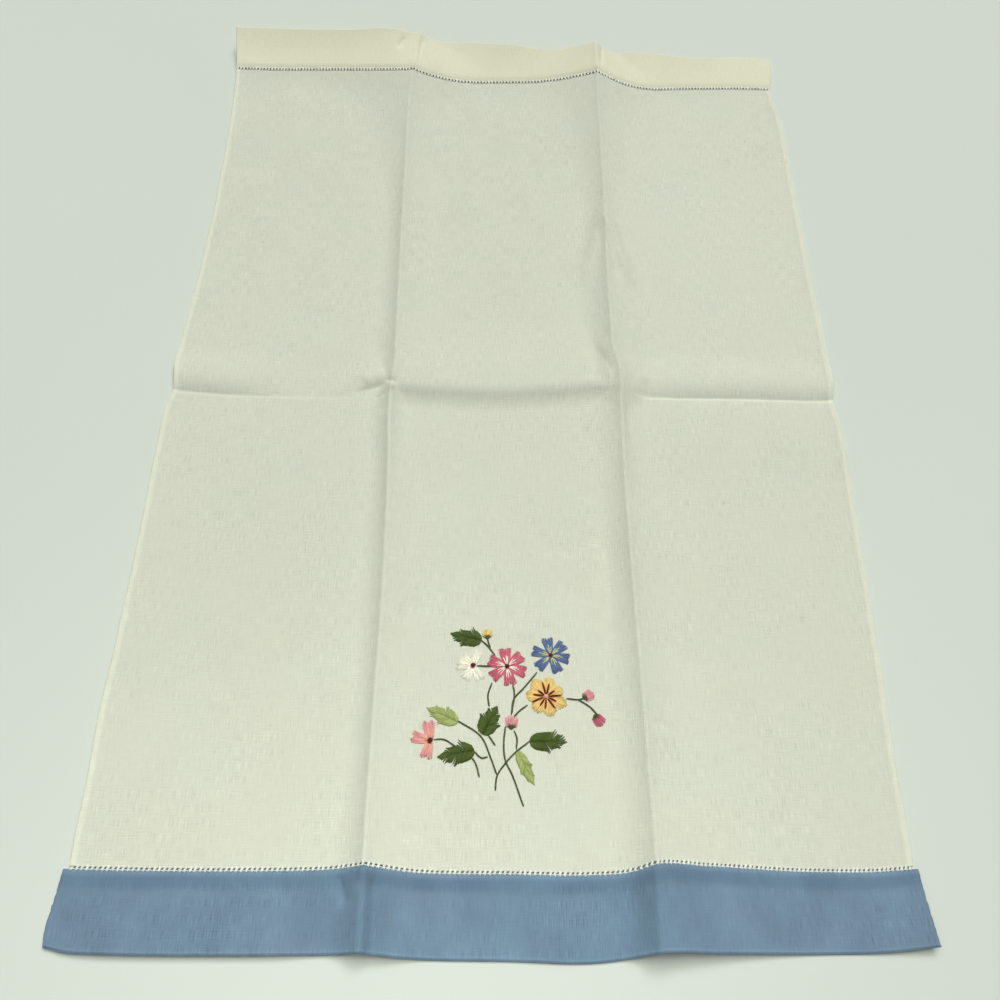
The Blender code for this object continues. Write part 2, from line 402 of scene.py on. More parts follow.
LOWER_LIP_REACH = 60.0
FOLD_BLEND = 0.10
RIDGE_RUNS_ON = 0.08
CROSSING_SHARE = 0.35
PRESSED_EDGE_HEIGHT = 0.35
PRESSED_EDGE_REACH = 1.5
CORNER_LIFT = 3.5
CORNER_REACH = 34.0
CORNER_AT = (174.0, 3.7)

up_curves = {name: curve(UP_LINES, "y", name) for name in UP_LINES[0]._fields[1:]}
cross_curves = {name: curve(CROSS_LINES, "across", name) for name in CROSS_LINES[0]._fields[1:]}


def ridge(rows, y, beside):
    """The height of a long fold, "beside" millimetres from its crest."""
    left = curve(rows, "y", "left_reach")(y)
    right = curve(rows, "y", "right_reach")(y)
    away = np.abs(beside) / np.where(beside < 0, left, right)
    soft = curve(rows, "y", "height")(y) * clamp(1 - away) ** 2
    return soft + PRESSED_EDGE_HEIGHT * np.exp(-np.abs(beside) / PRESSED_EDGE_REACH)


def lip(beyond, height, reach):
    """A raised lip: nothing at the groove, and highest a third of its reach away."""
    t = clamp(beyond / reach)
    return height * t * (1 - t) ** 2 / ((1 / 3) * (1 - 1 / 3) ** 2)


def cross_fold(across, beyond):
    """The cross fold's height, "beyond" millimetres above it up the towel."""
    middle = clamp(0.5 + np.minimum(across - 1, 2 + RIDGE_RUNS_ON - across) / FOLD_BLEND)
    near = np.clip(beyond + RIDGE_NEAR, 0, RIDGE_NEAR) ** 2 / RIDGE_NEAR
    below_crown = np.clip(RIDGE_CROWN - beyond, 0, RIDGE_CROWN)
    crown = RIDGE_CROWN - below_crown**2 / RIDGE_CROWN
    away = clamp((beyond - RIDGE_CROWN) / RIDGE_FAR)
    crest = RIDGE_SLOPE / 2 * (near + np.where(beyond > 0, crown, 0))
    crest = crest * (1 - away * away * (3 - 2 * away))
    upper_lip = lip(beyond, UPPER_LIP_HEIGHT, UPPER_LIP_REACH)
    lower_lip = lip(-beyond, LOWER_LIP_HEIGHT, LOWER_LIP_REACH) * clamp(across - 1)
    lips = (upper_lip + lower_lip) * curve(LIP_SHARES, "across", "share")(across)
    return middle * crest + (1 - middle) * lips


def fold_height(across, x, y):
    """How far the folds hold the cloth off the table, in millimetres."""
    long_folds = ridge(LEFT_RIDGE, y, x - up_curves["left_fold"](y))
    long_folds = long_folds + ridge(RIGHT_RIDGE, y, x - up_curves["right_fold"](y))
    cross = cross_fold(across, y - cross_curves["cross_fold"](across))
    top = cross_curves["top"](across)
    curl = clamp((y - LIFT_STARTS) / (top - LIFT_STARTS)) ** 2
    from_corner = np.hypot(x - CORNER_AT[0], y - CORNER_AT[1])
    corner = CORNER_LIFT * clamp(1 - from_corner / CORNER_REACH) ** 2
    folds = np.maximum(long_folds, cross) + CROSSING_SHARE * np.minimum(long_folds, cross)
    return folds + curl * cross_curves["lift"](across) + corner


print("left fold at the top hem, mm:", ridge(LEFT_RIDGE, np.array([512.0]), np.zeros(1)).round(1))

# %% [markdown]
# ## Small creases and slack
#
# Cloth that has been pressed and opened is never smooth between its folds. Short creases run
# into the places where two folds cross, and each is one row here: where it starts and ends, how
# deep or high it is, and how wide. A little slow noise gives the panels the slack of real linen.

# %% Listed creases, and slack
CREASES = table(
    "x0 y0 x1 y1 height wide",
    (-77.0, 262.4, -60.0, 270.2, -1.5, 2.2),
    (-74.0, 270.0, -61.0, 277.0, 0.9, 3.2),
    (-61.0, 271.4, -55.4, 267.4, -1.1, 1.2),
    (-58.4, 265.2, -56.8, 264.8, 0.9, 1.7),
    (-66.5, 260.5, -59.5, 263.0, -0.6, 1.1),
    (-57.0, 256.0, -44.0, 247.0, 0.35, 1.8),
    (-45.0, 110.0, -44.0, 215.0, -0.35, 3.0),
    (63.6, 262.0, 63.8, 236.0, -0.5, 2.4),
    (70.0, 262.0, 73.0, 236.0, 0.4, 4.0),
    (56.4, 270.0, 54.0, 302.0, 0.8, 3.0),
    (50.0, 270.0, 47.0, 304.0, -0.9, 4.0),
    (66.0, 292.0, 76.0, 272.0, 0.6, 3.6),
    (57.5, 398.0, 43.5, 338.0, 1.2, 3.5),
    (56.0, 400.0, 73.0, 338.0, 2.0, 4.0),
    (61.5, 378.0, 64.0, 340.0, -0.6, 3.2),
    (-185.0, -1.0, -60.0, -1.0, 1.7, 10.0),
    (-66.5, 29.0, -60.0, 15.0, -1.4, 2.8),
    (-51.2, -8.0, -51.8, 33.0, -2.4, 3.6),
    (-68.0, 524.5, -64.0, 534.0, -1.2, 1.8),
    (-54.6, 514.0, -53.6, 536.0, -0.8, 1.4),
    (61.0, 513.0, 61.4, 533.0, -0.9, 1.4),
    (26.0, 180.0, 48.0, 236.0, 0.35, 9.0),
    (50.0, 120.0, 50.0, 196.0, -0.4, 5.0),
    (-18.8, 71.0, -15.2, 60.2, 0.22, 1.0),
    (-150.0, 420.0, -120.0, 500.0, 0.4, 14.0),
    (100.0, 330.0, 150.0, 400.0, 0.4, 16.0),
    (-150.0, 120.0, -90.0, 170.0, 0.4, 14.0),
)
SLACK = 0.22
SLACK_WIDE = 46.0
FINE_SLACK = 0.05
FINE_SLACK_WIDE = 9.0
PUCKER = 0.22
SPRAY_AT = (3.0, 94.0)
SPRAY_SIZE = (36.0, 44.0)


def crease_height(x, y):
    """All the listed creases together."""
    total = np.zeros_like(x)
    for c in CREASES:
        run = np.array([c.x1 - c.x0, c.y1 - c.y0])
        length = np.hypot(*run)
        along = ((x - c.x0) * run[0] + (y - c.y0) * run[1]) / length**2
        off = np.abs((x - c.x0) * run[1] - (y - c.y0) * run[0]) / length
        ends = np.clip(np.abs(along - 0.5) * 2 - 0.5, 0, None) * 2
        total += c.height * bell(off / c.wide) * np.exp(-(ends**2) * 3)
    return total


def unevenness(x, y, z):
    """Blender's smooth noise, between about -1 and 1, at many places at once."""
    values = [noise.noise((a, b, z)) for a, b in zip(x.flat, y.flat)]
    return np.reshape(values, x.shape)


def slack(x, y):
    """Slow noise of two sizes, never under nothing."""
    wide = unevenness(x / SLACK_WIDE, y / SLACK_WIDE / 1.4, 0.3)
    fine = unevenness(x / FINE_SLACK_WIDE, y / FINE_SLACK_WIDE, 7.1)
    return SLACK * np.clip(0.6 + wide, 0, None) + FINE_SLACK * (1 + fine)


def puckers(x, y):
    """Small upright puckers where the embroidery has drawn the cloth up."""
    near = bell((x - SPRAY_AT[0]) / SPRAY_SIZE[0], (y - SPRAY_AT[1]) / SPRAY_SIZE[1])
    return PUCKER * near * np.clip(unevenness(x / 2.6, y / 9.0, 4.4), 0, None)


def underside(across, x, y):
    """The height of the cloth's underside."""
    folds = np.clip(fold_height(across, x, y) + crease_height(x, y), 0, None)
    return folds + slack(x, y) + puckers(x, y)


print("creases placed by hand:", len(CREASES))

# %% [markdown]
# ## Threads across and up
#
# A point of the cloth is named by its threads: how many thirds across, and how many parts up
# (0 bottom edge, 1 border seam, 2 cross fold, 3 hem seam, 4 top edge). The functions here turn
# that into millimetres and back, so a stitch can be laid on the cloth from its place alone.


# %% From threads to places and back
def x_at(across, y):
    lines = [line(y) for line in up_curves.values()]
    third = np.clip(np.floor(across), 0, 2).astype(int)
    low = np.choose(third, lines[:3])
    high = np.choose(third, lines[1:])
    return low + (across - third) * (high - low)


def y_at(across, up):
    lines = [cross_curves[name](across) for name in ("bottom", "seam", "cross_fold", "hem_seam", "top")]
    part = np.clip(np.floor(up), 0, 3).astype(int)
    low = np.choose(part, lines[:4])
    high = np.choose(part, lines[1:])
    return low + (up - part) * (high - low)


def across_at(x, y):
    lines = [line(y) for line in up_curves.values()]
    shares = [(x - lines[k]) / (lines[k + 1] - lines[k]) for k in range(3)]
    return np.where(x < lines[1], shares[0], np.where(x < lines[2], 1 + shares[1], 2 + shares[2]))


def on_cloth(x, y, layer):
    """Points lying on the cloth, "layer" millimetres above its underside."""
    x = np.asarray(x, float)
    y = np.asarray(y, float)
    return in_frame(x, y, underside(across_at(x, y), x, y) + layer)


def graded(start, end, scale, fine_at, fine, coarse, reach=17.0):
    """Thread numbers from start to end, in fine steps near some of them and coarse steps elsewhere."""
    s = np.linspace(start, end, 6000)
    away = np.min([np.abs(s - place) for place in fine_at], axis=0) * scale
    step = fine + (coarse - fine) * clamp(away / reach - 1)
    count = np.concatenate([[0], np.cumsum((s[1] - s[0]) * scale / step[1:])])
    values = np.interp(np.linspace(0, count[-1], round(count[-1]) + 1), count, s)
    for place in fine_at:
        values[np.abs(values - place).argmin()] = place
    return values


# %% [markdown]
# ## Sheets of cloth
#
# Every sheet is a grid of threads bent onto the folds, and a Solidify modifier gives it its
# thickness upwards. The thickness is held in a vertex group, so one sheet can be single in the
# middle and thicker in its hems, and can round off at a folded edge. The number of layers also
# goes into an attribute, because two layers of thin linen look creamier than one. Another, crest,
# holds how much lighter or darker the cloth is: its own tone, and painted highlights and painted
# shade on the folds, the cross fold's groove, the top hem and the border's bottom edge.

# %% A sheet on the folds
SINGLE = 0.45
# Painted light: the cloth is painted lighter just below the cross fold's groove and along the left fold's
# pressed line, and darker along the right fold's.
GROOVE_ACROSS = (0.62, 0.74, 0.97, 1.03, 1.97, 2.06, 2.12)
GROOVE_PAINTED_LIGHT = (1.7, 0.5, 0.5, 0.0, 0.0, 0.5, 2.6)
GROOVE_WIDE = 0.9
LEFT_CREST_PAINTED_LIGHT = 0.3
RIGHT_CREST_PAINTED_SHADE = -0.35
CREST_WIDE = 0.7


def grid_islands(bm, across, up, place):
    """One grid of threads, bent into place. Returns the thread numbers of each of its points."""
    grid = bmesh.ops.create_grid(bm, x_segments=len(across) - 1, y_segments=len(up) - 1, size=1.0)
    verts = grid["verts"]
    i = np.array([round((vert.co.x + 1) / 2 * (len(across) - 1)) for vert in verts])
    j = np.array([round((vert.co.y + 1) / 2 * (len(up) - 1)) for vert in verts])
    a = np.asarray(across)[i]
    u = np.asarray(up)[j]
    points = in_frame(*place(a, u))
    for vert, point in zip(verts, points):
        vert.co = point
    return a, u


def painted_fold_light(across, y):
    """Painted highlight on the left fold's pressed line and just below the cross fold's groove, and painted
    shade, below 0, on the right fold's pressed line.
    """
    x = x_at(across, y)
    long = LEFT_CREST_PAINTED_LIGHT * bell((x - up_curves["left_fold"](y)) / CREST_WIDE)
    long = long + RIGHT_CREST_PAINTED_SHADE * bell((x - up_curves["right_fold"](y)) / CREST_WIDE)
    groove = bell((y - cross_curves["cross_fold"](across) + 0.7) / GROOVE_WIDE)
    return long + groove * np.interp(across, GROOVE_ACROSS, GROOVE_PAINTED_LIGHT)


def hold(mesh, **values):
    """Gives a mesh a value at each of its points, under each name."""
    for name, value in values.items():
        mesh.attributes.new(name, "FLOAT", "POINT").data.foreach_set("value", value)


def cloth_sheet(name, islands, thickness, layers, worn, material):
    """A thin sheet of one or more grids, with its thickness, its number of layers, and its tone with
    painted light and shade.
    """
    bm = bmesh.new()
    threads = [grid_islands(bm, across, up, place) for across, up, place in islands]
    a = np.concatenate([pair[0] for pair in threads])
    u = np.concatenate([pair[1] for pair in threads])
    mesh = bpy.data.meshes.new(name)
    bm.to_mesh(mesh)
    bm.free()
    # The crest attribute holds the painted highlight and shade on the folds, plus what worn gives: each
    # sheet's own tone and its painted light.
    hold(mesh, layers=layers(a, u), crest=painted_fold_light(a, y_at(a, u)) + worn(a, u))
    piece = add_object(name, mesh)
    thick = thickness(a, u)
    group = piece.vertex_groups.new(name="thickness")
    for index, share in enumerate(thick / thick.max()):
        group.add([index], share, "REPLACE")
    solid = piece.modifiers.new("Thickness", "SOLIDIFY")
    solid.thickness = thick.max() * MM
    solid.offset = 1.0
    solid.vertex_group = group.name
    solid.thickness_vertex_group = 0.0
    mesh.shade_smooth()
    mesh.materials.append(material)
    print(name, "has", len(mesh.polygons), "faces on its face side")
    return piece


def thin_seam(from_seam, thick, seam=0.42, reach=2.4):
    """Thickness that drops to one layer at an open seam, where the stitches pull it down."""
    t = clamp(from_seam / reach)
    return seam + (thick - seam) * t * t * (3 - 2 * t)


def rounded(from_edge, thick, least=0.15):
    """Thickness that rounds off over the last half layer before a folded edge."""
    t = clamp(from_edge / (thick * 0.6))
    return thick * np.maximum(least, np.sqrt(1 - (1 - t) ** 2))


# %% [markdown]
# ## Linen
#
# Linen is a plain weave of flax, and flax yarn is uneven: it has slubs, thick places a
# centimetre or two long, that show as faint light streaks in both directions. So each warp and
# weft thread has its own tone that drifts along it, whichever is on top shows, and the pinholes
# between threads are painted darker, as painted shade. Doubled cloth looks calmer, because its
# second layer evens it out. The same pattern drives a Bump node. Position is read in object
# space, because a point of the cloth hardly moves sideways when it is bent over a fold. Each
# sheet's crest attribute adds its own tone and its painted highlights and shade.


# %% The weave
SLUB_THICK = 0.45 * MM
SLUB_LONG = 6 * MM


def linen(name, single, doubled, pitch, contrast, streaky, level_share, cloudy, drift):
    """Plain-weave linen, its colours for one layer and for two or more, its thread pitch in mm."""
    material, shader, wire = new_material(name, 0.85, sheen=0.15)
    place = wire.node("ShaderNodeTexCoord", out=3)
    x, y = (wire.node("ShaderNodeSeparateXYZ", None, {0: place}, out=axis) for axis in range(2))
    warp = x / (pitch * MM)
    weft = y / (pitch * MM)
    warp_number = warp.maths("FLOOR", warp)
    weft_number = weft.maths("FLOOR", weft)
    warp_tone = wire.speckle(wire.vector(warp_number * 7.31, y * 55.0, 0.0), 1.0, 3.0)
    weft_tone = wire.speckle(wire.vector(x * 75.0, weft_number * 5.17, 4.0), 1.0, 3.0)
    over = (warp_number + weft_number).maths("PINGPONG", warp_number + weft_number, 1.0)
    tone = warp_tone * over + weft_tone * (1 - over)

    upright = wire.speckle(wire.vector(x / SLUB_THICK, y / SLUB_LONG, 2.0), 1.0, 0.0)
    level = wire.speckle(wire.vector(x / SLUB_LONG, y / SLUB_THICK, 6.0), 1.0, 0.0)
    patch = wire.speckle(place, 30.0, 2.0).step(0.30, 0.70)
    thick = upright.step(0.58, 0.74) + level.step(0.60, 0.76) * level_share
    thin = upright.step(0.40, 0.26) + level.step(0.38, 0.24) * level_share
    slub = (thick - thin) * (patch * 0.6 + 0.4)

    warp_side = (warp - warp_number) * 2 - 1
    weft_side = (weft - weft_number) * 2 - 1
    warp_round = 1 - warp_side * warp_side
    weft_round = 1 - weft_side * weft_side
    raised = warp_round * over + weft_round * (1 - over)
    # The pinholes between threads are darkened as painted shade.
    pinhole_shade = (1 - warp_round) * (1 - weft_round)

    layers = wire.held("layers")
    crest = wire.held("crest")
    cloud = (wire.speckle(place, 24.0, 3.0) - 0.5) * 2
    base = (layers - 1 + cloud * (layers - 1) * cloudy * 1.6).step(0.0, 1.0).tint(single, doubled)
    tinge = wire.vector(*(cloud * share + 1 for share in drift))
    tinged = base.node("ShaderNodeVectorMath", {"operation": "MULTIPLY"}, {0: base, 1: tinge})
    haze = (wire.speckle(wire.vector(x, y * 0.6, 9.0), 60.0, 2.0) - 0.5) * cloudy
    threads = (tone - 0.5) * contrast + slub * streaky - pinhole_shade * 0.05
    # crest lightens or darkens by each sheet's own tone and by its painted highlights and shade.
    light = 1 + threads * (1.6 - layers * 0.6) + haze + crest * 0.06
    height = raised * 0.3 + slub * 0.6 + tone * 0.3
    connect(shader, tinged.lit(light), height, strength=0.45, deep=0.12)
    return material


CREAM = shade((215, 219, 199))
# The doubled cream is paler because two layers are more opaque, and partly painted light that lifts the top
# hem, which curls away from the light.
CREAM_DOUBLED = shade((230, 230, 202))
BLUE = shade((113, 139, 158))
BLUE_DEEP = shade((95, 122, 143))
cream_linen = linen(
    "cream_linen", CREAM, CREAM_DOUBLED, pitch=0.55, contrast=0.11, streaky=0.085,
    level_share=0.8, cloudy=0.05, drift=(0.012, -0.008, -0.03),
)
blue_linen = linen(
    "blue_linen", BLUE, BLUE_DEEP, pitch=0.5, contrast=0.10, streaky=0.16,
    level_share=0.5, cloudy=0.5, drift=(0.1, -0.01, 0.03),
)
print("linens:", cream_linen.name, blue_linen.name)

# %% [markdown]
# ## The cream linen
#
# One cut of linen makes the whole towel. Its long sides are turned under twice into hems 3 mm
# wide, which look paler, and its top end is folded over by about 28 mm and held by the
# hemstitching. Just below that hem a few weft threads have been drawn out, so the panel and the
# hem are two grids with a narrow open band between them, which the gathered warp threads cross.
# A slow change of tone lies over it, and the top hem's left end is painted lighter, as painted light where
# the hem curls away from the light.

# %% Panel and top hem
SIDE_HEM_WIDE = 3.0
SIDE_HEM = 0.85
TOP_HEM = 1.0
BAND = 1.0
TOP_BAND = 1.3
SIDE_LIFT = 1.0
HEM_STEP = 1.1
EDGE_STEPS = (0.0, 0.08, 0.25, 0.55)
FINE_STEP = 0.75
COARSE_STEP = 3.5
TOP_HEM_DEEP = 28.0
LOWER_HALF_LONG = 232.0
UPPER_HALF_LONG = 247.0
PANEL_ENDS = 3 - 1e-5


def threads_across():
    """Threads across: close together at the folds, the rounded edges and the side hems' steps."""
    near = [step / THIRD_WIDE for step in (*EDGE_STEPS, 1.5, SIDE_HEM_WIDE - HEM_STEP, SIDE_HEM_WIDE)]
    thirds = graded(0, 3, THIRD_WIDE, (1, 2), FINE_STEP, COARSE_STEP)
    inner = thirds[(thirds > near[-1] * 1.3) & (thirds < 3 - near[-1] * 1.3)]
    return np.concatenate([near, inner, 3 - np.array(near[::-1])])


def from_side(across):
    """How far inside the nearer side edge a thread lies, in millimetres."""
    return np.minimum(across, 3 - across) * THIRD_WIDE


def ripple(across, up, size):
    """The waver of a hand-turned edge."""
    edge = clamp(1 - from_side(across) / 12)
    side = np.where(across < 1.5, 1.0, 2.0)
    return size * edge * unevenness(up * 9.0, side * 5.0, 2.2)


def panel_place(across, up):
    y = y_at(across, up)
    y = y + np.where(up <= 1.0, BAND / 2, 0.0) - np.where(up >= 3.0 - 1e-4, TOP_BAND / 2, 0.0)
    x = x_at(across, y) + ripple(across, up, 0.5)
    lifted = SIDE_LIFT * clamp(1 - from_side(across) / 1.6) ** 2
    return x, y, underside(across, x, y) + lifted


def hem_place(across, up):
    y = y_at(across, up) + np.where(up <= 3.0, TOP_BAND / 2, 0.0)
    x = x_at(across, y) + ripple(across, up, 0.3)
    return x, y, underside(across, x, y)


def in_side_hem(across):
    """1 in a side hem and 0 past it, with a soft step between."""
    return clamp((SIDE_HEM_WIDE - from_side(across)) / HEM_STEP)


def in_top_hem(up):
    return up > 3.0 - 1e-6


def panel_thickness(across, up):
    y = y_at(across, up)
    side = SINGLE + in_side_hem(across) * (SIDE_HEM - SINGLE)
    panel = np.minimum(side, rounded(from_side(across), SIDE_HEM))
    from_seam = y - y_at(across, np.full_like(up, 3.0)) - TOP_BAND / 2
    panel = np.minimum(panel, thin_seam(-from_seam - TOP_BAND, SIDE_HEM, seam=0.2, reach=1.5))
    hem = thin_seam(from_seam, TOP_HEM, seam=0.2, reach=3.0)
    edges = np.minimum(from_side(across), cross_curves["top"](across) - y)
    return np.where(in_top_hem(up), np.minimum(hem, rounded(edges, TOP_HEM)), panel)


def panel_layers(across, up):
    return np.where(in_top_hem(up), 2.0, 1.0 + 0.25 * in_side_hem(across))


def panel_tone_and_light(across, up):
    """Paler side hems, with twice the cloth in them, a painted highlight on the top hem's left end, which
    curls away from the light, and a slow change of tone: lighter in the upper right third, darker in the
    lower left third.
    """
    lighter_part = 0.6 * bell((across - 2.6) / 0.5, (up - 2.5) / 0.6)
    darker_part = 0.5 * bell((across - 0.5) / 0.45, (up - 1.6) / 0.3)
    # Painted highlight: the top hem's left end is painted lighter where it curls away from the light.
    hem = 1.2 * clamp(1.1 - across) ** 0.5
    return np.where(in_top_hem(up), hem, 1.7 * in_side_hem(across) + lighter_part - darker_part)


across = threads_across()
lower_half = graded(1, 2, LOWER_HALF_LONG, (2,), FINE_STEP, COARSE_STEP)
upper_half = graded(2, PANEL_ENDS, UPPER_HALF_LONG, (2, PANEL_ENDS), FINE_STEP, COARSE_STEP)
panel_up = np.concatenate([[1.0, 1.0034, 1.0068], lower_half[1:-1], upper_half])
hem_edge = 4 - np.array(EDGE_STEPS[::-1]) / TOP_HEM_DEEP
hem_up = np.concatenate([3 + np.array([0, 0.036, 0.06, 0.10]), np.linspace(3.15, 3.97, 16), hem_edge])
islands = [(across, panel_up, panel_place), (across, hem_up, hem_place)]
linen_cloth = cloth_sheet(
    "linen_cloth", islands, panel_thickness, panel_layers, panel_tone_and_light, cream_linen
)

# %% [markdown]
# ## The blue border
#
# The border is a strip of blue linen folded in half along its length, with its raw edges turned
# in. The turned-in edge makes a third and fourth layer for about 8 mm below the seam, and it
# shows through as a slightly deeper band. The blue is also deeper in the left third, painted
# deeper beside the long folds as painted shade, and painted paler along the folded bottom edge
# as a painted highlight. The ends stand a little outside the cream panel, and the lower left
# corner is worn round.

# %% Border
BORDER = 1.1
BORDER_FLARE_TOP = 2.2
BORDER_FLARE_BOTTOM = 5.2
WORN_CORNER_INSET = 1.6
WORN_CORNER_ACROSS = 0.08
WORN_CORNER_UP = 0.25
BORDER_DEEP = 31.5
TURNED_IN = 7.5


def border_place(across, up):
    y = y_at(across, up) - np.where(up >= 1.0, BAND / 2, 0.0)
    x = x_at(across, y)
    flare = BORDER_FLARE_BOTTOM + up * (BORDER_FLARE_TOP - BORDER_FLARE_BOTTOM)
    x = x + flare * ((across - 1.5) / 1.5) ** 3
    worn = clamp(1 - across / WORN_CORNER_ACROSS) * clamp(1 - up / WORN_CORNER_UP)
    x = x + WORN_CORNER_INSET * worn + ripple(across, up * 2, 0.3)
    lifted = 0.45 * clamp(1 - up * BORDER_DEEP / 0.9) ** 2
    return x, y + WORN_CORNER_INSET * worn, underside(across, x, y) + lifted


def border_thickness(across, up):
    below_seam = (1 - up) * BORDER_DEEP
    extra = 0.25 * clamp((TURNED_IN + 1.5 - below_seam) / 2.5)
    ends = np.minimum(rounded(from_side(across), BORDER), rounded(up * BORDER_DEEP, BORDER))
    return np.minimum(ends + extra, thin_seam(below_seam, BORDER + extra))


def border_layers(across, up):
    below_seam = (1 - up) * BORDER_DEEP
    turned = clamp((below_seam - 1.0) / 2.5)
    return 1.0 + 0.6 * turned * clamp((TURNED_IN + 1.5 - below_seam) / 3)


def border_tone_and_light(across, up):
    """A painted highlight along the folded bottom edge, painted shade beside the long folds, and a deeper
    blue towards the left end.
    """
    painted_fold_shade = 1.8 * bell((across - 1.0) / 0.085) + 1.1 * bell((across - 1.965) / 0.03)
    darker_part = 0.8 * clamp(1.2 - across)
    # A painted highlight on the folded bottom edge, where it catches the light, less painted shade beside
    # the folds and a darker left end.
    return 2.4 * bell((up * BORDER_DEEP - 1.0) / 0.7) - painted_fold_shade - darker_part


bottom_edge = np.array((*EDGE_STEPS, 0.85, 1.2)) / BORDER_DEEP
border_up = np.concatenate([bottom_edge, np.linspace(0.055, 0.95, 42), [0.97, 1.0]])
islands = [(across, border_up, border_place)]
border_cloth = cloth_sheet(
    "border_cloth", islands, border_thickness, border_layers, border_tone_and_light, blue_linen
)

# %% [markdown]
# ## Thread
#
# All the sewing is real thread here: thin tubes laid on the cloth, gathered into one piece for
# each colour. A strand is given by its places on the towel and its height over the cloth's
# underside, so it follows every fold. Three attributes go with it for the shader: a tone for the
# strand, a blend along it between two colours, and the turn of its twist.


# %% Strands gathered into one piece
THREAD_SIDES = 6
TWIST_LONG = 0.8
rng = random.Random(11)


class Thread:
    """Strands of one thread, laid one at a time and built as one piece."""

    def __init__(self, name, material, flat=0.75):
        self.name = name
        self.material = material
        self.flat = flat
        self.runs = []

    def lay(self, x, y, layer, width, blend=0.0):
        """One strand, "layer" millimetres above the underside and "width" thick, its tone drawn."""
        values = (x, y, layer, width, rng.random(), blend)
        self.runs.append([np.broadcast_to(np.asarray(v, float), (len(x),)) for v in values])

    def build(self):
        x, y, layer, width, tone, blend = (np.concatenate(parts) for parts in zip(*self.runs))
        centres = on_cloth(x, y, layer)
        sides = THREAD_SIDES
        turns = (np.arange(sides) + 0.5) / sides
        angle = turns * 2 * math.pi - math.pi / 2
        corners, twists, faces, first = [], [], [], 0
        for run in self.runs:
            count = len(run[0])
            here = centres[first:first + count]
            ahead = np.gradient(here, axis=0)
            long = np.hypot(ahead[:, 0], ahead[:, 1]) + 1e-9
            beside = np.stack([-ahead[:, 1] / long, ahead[:, 0] / long, 0 * long], axis=1)
            radius = run[3][:, None, None] * MM / 2
            sideways = beside[:, None, :] * np.cos(angle)[None, :, None]
            upward = np.array([0, 0, self.flat])[None, None, :] * np.sin(angle)[None, :, None]
            corners.append(here[:, None, :] + radius * (sideways + upward))
            gone = np.concatenate([[0], np.cumsum(np.linalg.norm(np.diff(here, axis=0), axis=1))]) / MM
            twists.append(gone[:, None] / TWIST_LONG + turns[None, :])
            ring = first * sides + np.arange(sides)
            for k in range(count - 1):
                low = ring + k * sides
                faces.extend(zip(low, np.roll(low, -1), np.roll(low, -1) + sides, low + sides))
            faces.append(tuple(ring[::-1]))
            faces.append(tuple(ring + (count - 1) * sides))
            first += count
        mesh = bpy.data.meshes.new(self.name)
        faces = [[int(corner) for corner in face] for face in faces]
        mesh.from_pydata(np.concatenate(corners).reshape(-1, 3).tolist(), [], faces)
        hold(mesh, tone=np.repeat(tone, sides), blend=np.repeat(blend, sides))
        hold(mesh, twist=np.concatenate(twists).ravel())
        mesh.shade_smooth()
        mesh.materials.append(self.material)
        print(self.name, "has", len(self.runs), "strands")
        return add_object(self.name, mesh)


def floss(name, first, second=None, spread=0.34):
    """Twisted thread. Each strand has its own tone, and may blend to a second colour."""
    material, shader, wire = new_material(name, 0.5, sheen=0.06)
    turn = wire.held("twist") * (2 * math.pi)
    ply = turn.maths("SINE", turn) * 0.5 + 0.5
    base = wire.held("blend").tint(shade(first), shade(second or first))
    # The ply term also paints each strand lighter on its plies and darker between them, as painted shade of
    # the twist.
    light = 1 + (wire.held("tone") - 0.5) * spread + (ply - 0.5) * 0.16
    connect(shader, base.lit(light), ply, strength=0.5, deep=0.06)
    return material


# %% [markdown]
# ## Hemstitching
#
# At each end of the panel a few weft threads are drawn out, and the warp that is left bare is
# gathered into bundles 2 mm apart. A sewing thread wraps each bundle and catches the edge of
# the hem, which leaves the little holes and a row of white teeth. The lower row leans, because
# the border was pulled a little to one side as it was sewn. The top row's bundles are painted
# lighter than the lower row's, as painted light, though both are the same warp. Under the open
# band one looks down into the shade behind the thick seam, so a narrow dark strip lies there as
# painted shade, greyer at the border and darker under the top hem.

# %% Bundles, wrapping stitches and the shade behind them
HOLES = 173
BUNDLE_WIDE = 1.7
BUNDLE_WAIST = 1.2

# The top row's bundles are painted lighter than the lower row's, as painted light. Both rows are the same
# warp threads.
bundle_linen = floss("bundle_linen", (240, 242, 224), (226, 229, 215), spread=0.2)
bundle_thread = Thread("drawn_bundles", bundle_linen, flat=0.5)
hemstitch = Thread("hemstitch_thread", floss("sewing_thread", (218, 227, 220), spread=0.2))
shade_rows = []
SEAMS = table(
    "up lean band thin shade_low",
    (1.0, 0.22, BAND, 1.0, 0.3),
    (3.0, 0.0, TOP_BAND, 0.95, 0.12),
)

